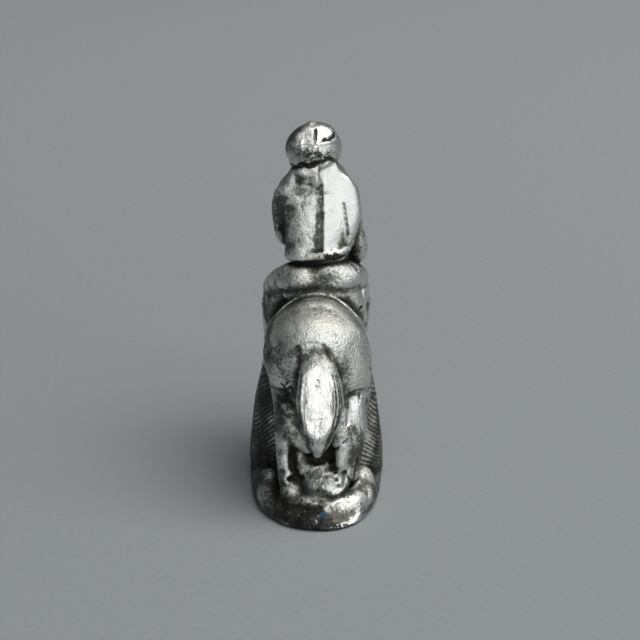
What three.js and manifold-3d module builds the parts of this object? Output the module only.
// Horse and rider taking off over a brush hedge, a small solid casting on an oval base.
// Millimetres, +Z up, the horse faces +Y, the origin is the centre of the base's underside.
// The whole work is one casting, so all its forms are joined into one solid.
import * as THREE from "three";
import { mergeVertices } from "three/addons/utils/BufferGeometryUtils.js";
import Module from "manifold-3d";

const wasm = await Module();
wasm.setup();

// Driving dimensions. The forms below are laid out for a height of DESIGN_HEIGHT and scale with it.
const TOTAL_HEIGHT = 40;
const DESIGN_HEIGHT = 40;
const BASE_LENGTH = 32;
const BASE_WIDTH = 14;
const BASE_THICKNESS = 1.6;
const BASE_BEVEL = 0.6;
const BASE_LEAN = 0.7;
const HEDGE_WIDTH = 14;
const HEDGE_LENGTH = 14.6;
const HEDGE_TOP = 13.4;
const HEDGE_MIDDLE = 1.7;
const HEDGE_RIBS = 11;
const HEDGE_RIB_DEPTH = 0.17;
const HEDGE_DROOP = 0.25;
const TAIL_STRANDS = 7;
const TAIL_STRAND_DEPTH = 0.12;
const MANE_LOCKS = 6;
const MANE_LOCK_DEPTH = 0.15;
const GROOVE_WIDTH = 0.34;
const GROOVE_DEPTH = 0.3;
const SADDLE_CLOTH_THICKNESS = 0.3;

const SCALE = TOTAL_HEIGHT / DESIGN_HEIGHT;
const LEFT = -1;
const RIGHT = 1;
const CAP_STEPS = 2;
const SMALLEST_RADIUS = 0.05;

// A closed body from rows of points: each row runs once round, and a pole closes each end.
function closeRows(rows, startPole, endPole) {
  const sides = rows[0].length;
  const positions = [];
  const indices = [];
  for (const row of rows) {
    for (const point of row) {
      positions.push(point.x * SCALE, point.y * SCALE, point.z * SCALE);
    }
  }
  const start = positions.length / 3;
  positions.push(startPole.x * SCALE, startPole.y * SCALE, startPole.z * SCALE);
  const end = positions.length / 3;
  positions.push(endPole.x * SCALE, endPole.y * SCALE, endPole.z * SCALE);
  const last = (rows.length - 1) * sides;
  for (let side = 0; side < sides; side += 1) {
    const next = (side + 1) % sides;
    for (let row = 0; row < rows.length - 1; row += 1) {
      const here = row * sides;
      const above = here + sides;
      indices.push(here + side, here + next, above + next);
      indices.push(here + side, above + next, above + side);
    }
    indices.push(start, next, side);
    indices.push(end, last + side, last + next);
  }
  const geometry = new THREE.BufferGeometry();
  geometry.setAttribute("position", new THREE.Float32BufferAttribute(positions, 3));
  geometry.setIndex(indices);
  return geometry;
}

// A geometry as a solid that can be joined and cut.
function solid(geometry) {
  const bare = geometry.clone();
  bare.deleteAttribute("normal");
  bare.deleteAttribute("uv");
  const merged = mergeVertices(bare, 1e-4);
  const mesh = new wasm.Mesh({
    numProp: 3,
    vertProperties: new Float32Array(merged.attributes.position.array),
    triVerts: new Uint32Array(merged.index.array),
  });
  return new wasm.Manifold(mesh);
}

function join(solids) {
  return solids.reduce((sum, next) => sum.add(next));
}

// Sine or cosine of a rounded square's outline: power 2 is an ellipse, more is squarer.
function squared(value, power) {
  return Math.sign(value) * Math.abs(value) ** (2 / power);
}

// A limb, neck or trunk: a smooth line through stations [x, y, z, half width, half depth].
// The half width lies along X as far as the line allows, and both ends are rounded.
// relief(t, angle) raises the surface in millimetres, angle 0 being +X and PI / 2 the back or top.
function limb(stations, { sides = 10, steps = 10, power = 2, tip = 0.8, relief = null } = {}) {
  const line = new THREE.CatmullRomCurve3(
    stations.map(([x, y, z]) => new THREE.Vector3(x, y, z)), false, "catmullrom", 0.5);
  const sizes = new THREE.CatmullRomCurve3(
    stations.map(([, , , across, through]) => new THREE.Vector3(across, through, 0)),
    false, "catmullrom", 0.5);

  function ring(t, shrink, shift) {
    const centre = line.getPoint(t);
    const along = line.getTangent(t);
    const across = new THREE.Vector3(1, 0, 0).addScaledVector(along, -along.x).normalize();
    const through = new THREE.Vector3().crossVectors(along, across);
    const size = sizes.getPoint(t);
    centre.addScaledVector(along, shift);
    const row = [];
    for (let side = 0; side < sides; side += 1) {
      const angle = (2 * Math.PI * side) / sides;
      const rise = relief ? relief(t, angle) * shrink : 0;
      const a = Math.max(size.x * shrink, SMALLEST_RADIUS) + rise;
      const b = Math.max(size.y * shrink, SMALLEST_RADIUS) + rise;
      row.push(centre.clone()
        .addScaledVector(across, a * squared(Math.cos(angle), power))
        .addScaledVector(through, b * squared(Math.sin(angle), power)));
    }
    return row;
  }

  const startSize = Math.min(stations[0][3], stations[0][4]) * tip;
  const endSize = Math.min(stations.at(-1)[3], stations.at(-1)[4]) * tip;
  const rows = [];
  for (let step = 1; step < CAP_STEPS; step += 1) {
    const turn = (Math.PI / 2) * (step / CAP_STEPS);
    rows.push(ring(0, Math.sin(turn), -startSize * Math.cos(turn)));
  }
  for (let step = 0; step <= steps; step += 1) {
    rows.push(ring(step / steps, 1, 0));
  }
  for (let step = CAP_STEPS - 1; step > 0; step -= 1) {
    const turn = (Math.PI / 2) * (step / CAP_STEPS);
    rows.push(ring(1, Math.sin(turn), endSize * Math.cos(turn)));
  }
  const startPole = line.getPoint(0).addScaledVector(line.getTangent(0), -startSize);
  const endPole = line.getPoint(1).addScaledVector(line.getTangent(1), endSize);
  return solid(closeRows(rows, startPole, endPole));
}

// A rounded lump with half axes [x, y, z].
function lump(centre, radii, { columns = 10, bands = 6 } = {}) {
  const ball = new THREE.SphereGeometry(1, columns, bands);
  ball.rotateX(Math.PI / 2);
  ball.scale(radii[0] * SCALE, radii[1] * SCALE, radii[2] * SCALE);
  ball.translate(centre[0] * SCALE, centre[1] * SCALE, centre[2] * SCALE);
  return solid(ball);
}

function mirrored(stations, side) {
  return stations.map(([x, ...rest]) => [x * side, ...rest]);
}

// Base and ground

// An oval plate with a bevelled top edge and a flat underside. Its rear tip leans to the right.
function basePlate() {
  const levels = [
    [0, 0.25],
    [0.3, 0],
    [BASE_THICKNESS - BASE_BEVEL, 0],
    [BASE_THICKNESS, BASE_BEVEL],
  ];
  const sides = 40;
  const rows = levels.map(([z, inset]) => {
    const row = [];
    for (let side = 0; side < sides; side += 1) {
      const angle = (2 * Math.PI * side) / sides;
      const lean = BASE_LEAN * Math.max(0, -Math.sin(angle)) ** 6;
      const x = (BASE_WIDTH / 2 - inset) * Math.cos(angle) + lean;
      const y = (BASE_LENGTH / 2 - inset) * Math.sin(angle);
      row.push(new THREE.Vector3(x, y, z));
    }
    return row;
  });
  return solid(closeRows(rows, new THREE.Vector3(0, 0, 0), new THREE.Vector3(0, 0, BASE_THICKNESS)));
}

// The uneven ground: a rise under the hind feet, a stone on the right, a tuft on the left.
function ground() {
  return join([
    lump([-0.2, -10.7, 1.7], [3.9, 3.5, 1.1], { columns: 14 }),
    lump([4.8, -6.6, 1.8], [1.1, 2.0, 1.1], { columns: 8 }),
    lump([-4.9, -5.4, 1.7], [1.0, 1.9, 0.9], { columns: 8 }),
  ]);
}

// A clipped brush hedge. Its ribs are bundles of twigs that droop from the middle to both sides.
function hedge() {
  const columns = 26;
  const rowsPerRib = 2;
  const rowCount = HEDGE_RIBS * rowsPerRib;
  const foot = BASE_THICKNESS - 0.8;
  const height = HEDGE_TOP - foot;
  const widths = new THREE.CatmullRomCurve3([
    new THREE.Vector3(1, 1, 0),
    new THREE.Vector3(0.985, 0.97, 0),
    new THREE.Vector3(0.935, 0.89, 0),
    new THREE.Vector3(0.86, 0.79, 0),
    new THREE.Vector3(0.71, 0.66, 0),
  ], false, "catmullrom", 0.5);
  const rows = [];
  for (let index = 0; index <= rowCount; index += 1) {
    const rise = index / rowCount;
    const spread = widths.getPoint(rise);
    const crest = index % rowsPerRib === 1 ? HEDGE_RIB_DEPTH : -HEDGE_RIB_DEPTH;
    const row = [];
    for (let column = 0; column < columns; column += 1) {
      const angle = (2 * Math.PI * column) / columns;
      const droop = HEDGE_DROOP * (Math.sin(angle) ** 2 - 0.5) * Math.sin(Math.PI * rise);
      const x = ((HEDGE_WIDTH / 2) * spread.x - HEDGE_RIB_DEPTH + crest) * squared(Math.cos(angle), 2.3);
      const y = ((HEDGE_LENGTH / 2) * spread.y + crest) * squared(Math.sin(angle), 2.3);
      row.push(new THREE.Vector3(x, HEDGE_MIDDLE + y, foot + height * (rise + droop)));
    }
    rows.push(row);
  }
  const top = foot + height + 0.5;
  return solid(closeRows(
    rows, new THREE.Vector3(0, HEDGE_MIDDLE, foot), new THREE.Vector3(0, HEDGE_MIDDLE, top)));
}

// Horse

function trunk() {
  const barrel = limb([
    [0, -8.9, 17.2, 4.5, 4.2],
    [0, -7.4, 17.0, 5.3, 5.0],
    [0, -5.0, 16.9, 5.6, 5.4],
    [0, -2.0, 16.5, 5.2, 5.1],
    [0, 1.5, 16.5, 5.1, 5.1],
    [0, 5.0, 17.1, 5.0, 5.4],
    [0, 8.0, 17.7, 4.3, 5.0],
    [0, 9.8, 18.2, 3.2, 3.8],
  ], { sides: 16, steps: 9 });
  const breast = lump([0, 9.4, 16.6], [3.3, 2.7, 3.5]);
  return barrel.add(breast);
}

// Each hind leg is one form from the hip over stifle, hock and fetlock to the hoof.
// The right one stands out more, and both feet turn inward.
const HIND_LEGS = {
  [LEFT]: [
    [-1.7, -5.6, 18.9, 1.7, 2.0],
    [-2.6, -6.7, 17.0, 2.85, 3.6],
    [-2.7, -7.2, 15.0, 2.65, 3.8],
    [-2.75, -7.3, 13.1, 2.05, 3.2],
    [-2.75, -8.2, 11.2, 1.7, 2.4],
    [-2.85, -9.3, 9.5, 1.5, 1.8],
    [-2.95, -10.2, 8.1, 1.25, 1.4],
    [-3.1, -10.6, 6.3, 0.95, 1.0],
    [-2.95, -11.0, 4.6, 0.95, 1.1],
    [-2.6, -11.3, 3.3, 1.05, 1.2],
    [-2.3, -11.2, 2.2, 1.35, 1.5],
  ],
  [RIGHT]: [
    [1.9, -5.6, 18.9, 1.7, 2.0],
    [2.9, -6.7, 17.0, 2.95, 3.7],
    [3.2, -7.2, 15.0, 2.8, 3.9],
    [3.55, -7.3, 13.1, 2.35, 3.3],
    [3.65, -8.2, 11.2, 1.9, 2.4],
    [3.6, -9.3, 9.6, 1.6, 1.8],
    [3.65, -10.1, 8.3, 1.3, 1.4],
    [3.6, -10.6, 6.6, 1.0, 1.0],
    [3.15, -11.0, 4.9, 1.0, 1.1],
    [2.6, -11.3, 3.6, 1.05, 1.2],
    [1.9, -11.2, 2.4, 1.4, 1.5],
  ],
};

function hindLeg(side) {
  return limb(HIND_LEGS[side], { sides: 10, steps: 14 });
}

// Metal left between the hind legs, which the founder didn't clear away.
function legWeb() {
  return join([
    limb([
      [0.2, -7.0, 13.0, 2.6, 2.0],
      [0.2, -8.2, 9.6, 2.4, 1.5],
      [0.1, -9.2, 6.6, 2.2, 1.2],
      [-0.1, -10.2, 3.2, 2.1, 1.5],
      [-0.1, -10.4, 1.8, 2.1, 1.5],
    ], { sides: 10, steps: 5 }),
    limb([
      [-1.4, -10.3, 7.4, 0.5, 0.7],
      [-1.6, -10.9, 5.6, 0.6, 0.7],
      [-1.5, -11.2, 3.6, 0.7, 0.8],
    ], { sides: 6, steps: 3 }),
    lump([0.4, -11.5, 3.6], [1.55, 1.2, 1.6], { columns: 8 }),
  ]);
}

// The tail hangs as one leaf of hair, with shallow strands running down it.
function tail() {
  return limb([
    [0.1, -9.2, 19.4, 1.0, 0.9],
    [0.2, -10.8, 18.4, 1.5, 1.0],
    [0.3, -12.2, 16.3, 2.1, 1.2],
    [0.4, -12.9, 13.5, 2.5, 1.3],
    [0.3, -13.1, 10.8, 2.0, 1.2],
    [0.2, -12.9, 8.7, 1.1, 0.9],
    [0.15, -12.7, 7.8, 0.5, 0.5],
  ], {
    sides: 2 * TAIL_STRANDS,
    steps: 9,
    relief: (t, angle) => TAIL_STRAND_DEPTH * Math.cos(TAIL_STRANDS * angle) * Math.sin(Math.PI * t),
  });
}

function neck() {
  return limb([
    [0, 5.2, 17.8, 3.7, 4.4],
    [0, 8.0, 20.0, 3.3, 4.5],
    [0, 10.3, 22.2, 2.4, 3.5],
    [0, 12.3, 24.4, 1.75, 2.5],
    [0, 13.8, 25.9, 1.4, 1.7],
  ], { sides: 12, steps: 6 });
}

// A ridge of locks along the crest, falling a little to the horse's right.
function mane() {
  return limb([
    [0.35, 5.6, 22.6, 0.9, 0.8],
    [0.5, 7.7, 24.1, 1.1, 1.1],
    [0.55, 9.9, 25.7, 1.1, 1.1],
    [0.4, 12.0, 27.0, 0.9, 0.9],
    [0.1, 13.9, 27.6, 0.6, 0.55],
  ], {
    sides: 8,
    steps: MANE_LOCKS * 2,
    relief: (t) => MANE_LOCK_DEPTH * Math.cos(2 * Math.PI * MANE_LOCKS * t),
  });
}

function horseHead() {
  const skull = limb([
    [0, 13.3, 26.3, 1.35, 1.6],
    [0, 14.7, 26.0, 1.7, 2.15],
    [0, 16.1, 25.0, 1.55, 1.95],
    [0, 17.5, 23.8, 1.2, 1.4],
    [0, 18.6, 22.7, 1.15, 1.25],
    [0, 19.0, 22.2, 1.1, 1.1],
  ], { sides: 12, steps: 8 });
  const ears = [LEFT, RIGHT].map((side) => limb(mirrored([
    [0.75, 14.0, 27.0, 0.42, 0.34],
    [0.9, 13.8, 27.9, 0.4, 0.26],
    [0.95, 13.9, 28.6, 0.14, 0.1],
  ], side), { sides: 6, steps: 3 }));
  return join([skull, ...ears]);
}

// The forelegs are folded for the leap. The left one is carried a little higher.
function foreleg(side) {
  const lift = side === LEFT ? 0.5 : 0;
  const shoulder = limb(mirrored([
    [2.4, 6.2, 19.6, 2.0, 2.3],
    [3.0, 7.8, 16.9, 2.1, 2.7],
    [2.8, 8.9, 14.7, 1.6, 2.1],
  ], side), { sides: 10, steps: 4 });
  const leg = limb(mirrored([
    [2.6, 8.4, 14.4, 1.4, 1.7],
    [2.45, 11.2, 14.5 + lift, 1.15, 1.3],
    [2.3, 13.4, 14.8 + lift, 0.95, 1.05],
    [2.25, 14.1, 13.8 + lift, 0.95, 1.0],
    [2.1, 13.3, 12.2 + lift, 0.65, 0.7],
    [2.0, 12.4, 10.9 + lift, 0.8, 0.85],
    [2.0, 11.3, 10.4 + lift, 0.7, 0.75],
    [2.0, 10.2, 9.6 + lift, 1.0, 1.05],
  ], side), { sides: 8, steps: 15 });
  return join([shoulder, leg]);
}

// Tack

// A cloth under the rider: the barrel's own shape, a little fatter, between two upright planes.
function saddleCloth() {
  const fat = SADDLE_CLOTH_THICKNESS;
  const blanket = limb([
    [0, -4.6, 16.9, 5.55 + fat, 5.4 + fat],
    [0, -2.0, 16.5, 5.2 + fat, 5.1 + fat],
    [0, 1.5, 16.5, 5.1 + fat, 5.1 + fat],
    [0, 4.6, 17.0, 5.0 + fat, 5.35 + fat],
  ], { sides: 16, steps: 4, tip: 0.05 });
  const hem = new THREE.BoxGeometry(BASE_WIDTH * SCALE, BASE_LENGTH * SCALE, 20 * SCALE);
  hem.translate(0, 0, (16.2 - 10) * SCALE);
  return blanket.subtract(solid(hem));
}

// Rider

// The seat is two rounded buttocks on a low saddle.
function seat() {
  return join([
    lump([-1.7, -1.9, 23.7], [3.1, 2.7, 1.85], { columns: 12, bands: 7 }),
    lump([1.9, -1.9, 23.8], [3.1, 2.7, 1.85], { columns: 12, bands: 7 }),
    limb([
      [0, -3.2, 22.3, 3.2, 0.8],
      [0, 0, 22.2, 3.0, 0.9],
      [0, 3.6, 23.0, 2.4, 0.9],
    ], { sides: 10, steps: 3 }),
  ]);
}

// A short jacket, broad at the shoulders, with a rolled hem and a standing collar.
function jacket() {
  return limb([
    [0.1, -1.3, 25.2, 3.4, 2.5],
    [0.1, -1.3, 25.8, 3.45, 2.5],
    [0.1, -1.15, 26.3, 3.2, 2.2],
    [0.1, -0.9, 27.4, 3.35, 2.35],
    [0.1, -0.4, 29.2, 3.8, 2.45],
    [0.05, 0.2, 31.2, 4.25, 2.4],
    [0, 0.5, 32.5, 4.05, 2.1],
    [-0.05, 0.6, 33.3, 3.3, 1.75],
    [-0.1, 0.6, 33.8, 2.65, 1.8],
    [-0.1, 0.7, 34.5, 2.3, 1.8],
  ], { sides: 16, steps: 13, power: 2.4, tip: 0.2 });
}

const ARMS = {
  [LEFT]: [
    [-3.3, 0.6, 31.9, 1.2, 1.4],
    [-3.6, 0.3, 30.6, 1.15, 1.4],
    [-3.5, 0.1, 28.8, 1.05, 1.25],
    [-3.4, 0.5, 27.3, 1.05, 1.15],
    [-3.0, 2.4, 26.0, 0.95, 1.0],
    [-1.9, 4.8, 25.0, 0.75, 0.8],
    [-1.2, 6.2, 24.5, 0.9, 0.9],
  ],
  [RIGHT]: [
    [3.4, 0.6, 31.9, 1.2, 1.4],
    [3.7, 0.2, 30.5, 1.15, 1.4],
    [3.95, -0.2, 28.4, 1.1, 1.3],
    [4.25, -0.1, 26.4, 1.1, 1.25],
    [4.0, 1.6, 25.0, 1.0, 1.05],
    [2.6, 4.5, 24.5, 0.8, 0.85],
    [1.3, 6.1, 24.4, 0.9, 0.9],
  ],
};

function arm(side) {
  return limb(ARMS[side], { sides: 10, steps: 11 });
}

// Thigh, bent knee, boot and foot. The left foot hangs lower.
function riderLeg(side) {
  const drop = side === LEFT ? 0.9 : 0;
  return limb(mirrored([
    [2.4, -1.0, 23.6, 1.9, 1.9],
    [3.9, 1.6, 23.2, 1.6, 1.9],
    [4.7, 4.0, 22.1, 1.25, 1.6],
    [4.75, 4.0, 20.4, 1.1, 1.3],
    [4.8, 2.4, 18.8, 1.0, 1.15],
    [4.8, 1.5, 17.5 - drop * 0.5, 0.9, 1.0],
    [4.75, 2.1, 16.9 - drop, 0.85, 0.8],
    [4.75, 4.3, 16.7 - drop, 0.7, 0.55],
  ], side), { sides: 10, steps: 13 });
}

// A round skull cap with a button, a band and a short peak over a plain face.
function riderHead() {
  const head = limb([
    [-0.25, 1.2, 33.6, 1.5, 1.7],
    [-0.25, 1.5, 34.6, 2.0, 2.3],
    [-0.25, 1.3, 36.0, 2.4, 2.6],
  ], { sides: 12, steps: 4 });
  const crown = limb([
    [-0.3, 0.9, 35.2, 2.6, 2.7],
    [-0.3, 0.9, 36.1, 2.9, 3.0],
    [-0.3, 0.9, 36.8, 2.95, 3.05],
    [-0.3, 0.9, 37.2, 2.8, 2.85],
    [-0.3, 0.9, 38.1, 2.55, 2.6],
    [-0.3, 0.9, 38.9, 1.8, 1.85],
    [-0.3, 0.9, 39.2, 1.2, 1.2],
  ], { sides: 14, steps: 8, tip: 0.25 });
  const button = lump([-0.5, 0.9, 39.65], [0.45, 0.45, 0.35], { columns: 6, bands: 4 });
  const peak = limb([
    [-0.25, 3.0, 36.0, 2.0, 0.4],
    [-0.25, 4.3, 35.6, 1.8, 0.35],
    [-0.25, 5.1, 35.2, 1.3, 0.25],
  ], { sides: 8, steps: 3 });
  const nose = limb([
    [-0.25, 3.9, 35.2, 0.3, 0.3],
    [-0.25, 4.3, 34.5, 0.42, 0.4],
  ], { sides: 6, steps: 2 });
  return join([head, crown, button, peak, nose]);
}

// Grooves that are cut into the finished form: the cap's middle seam and the jacket's back seam.
function grooves() {
  const capSeam = limb([
    [-0.1, -0.6, 39.1, GROOVE_WIDTH / 2, GROOVE_DEPTH],
    [-0.05, -1.9, 38.0, GROOVE_WIDTH / 2, GROOVE_DEPTH],
    [0, -2.3, 36.6, GROOVE_WIDTH / 2, GROOVE_DEPTH],
    [0, -2.1, 35.4, GROOVE_WIDTH / 2, GROOVE_DEPTH],
  ], { sides: 6, steps: 5 });
  const backSeam = limb([
    [0, -1.75, 32.3, GROOVE_WIDTH, GROOVE_DEPTH],
    [-0.05, -2.5, 30.0, GROOVE_WIDTH, GROOVE_DEPTH],
    [-0.05, -3.1, 27.6, GROOVE_WIDTH, GROOVE_DEPTH],
    [-0.05, -3.5, 26.3, GROOVE_WIDTH, GROOVE_DEPTH],
  ], { sides: 6, steps: 4 });
  return join([capSeam, backSeam]);
}

const horse = join([
  trunk(),
  hindLeg(LEFT),
  hindLeg(RIGHT),
  legWeb(),
  tail(),
  neck(),
  mane(),
  horseHead(),
  foreleg(LEFT),
  foreleg(RIGHT),
  saddleCloth(),
]);
const rider = join([
  seat(),
  riderLeg(LEFT),
  riderLeg(RIGHT),
  jacket(),
  arm(LEFT),
  arm(RIGHT),
  riderHead(),
]);
const casting = join([basePlate(), ground(), hedge(), horse, rider]).subtract(grooves());

const result = casting.getMesh();
const geometry = new THREE.BufferGeometry();
geometry.setAttribute("position", new THREE.Float32BufferAttribute(result.vertProperties, 3));
geometry.setIndex(new THREE.Uint32BufferAttribute(result.triVerts, 1));
geometry.computeVertexNormals();

const metal = new THREE.MeshStandardMaterial({ color: 0xa9a7a0, roughness: 0.38, metalness: 1 });
const figure = new THREE.Mesh(geometry, metal);
figure.name = "horse_and_rider";

const part = new THREE.Group();
part.add(figure);

export default part;
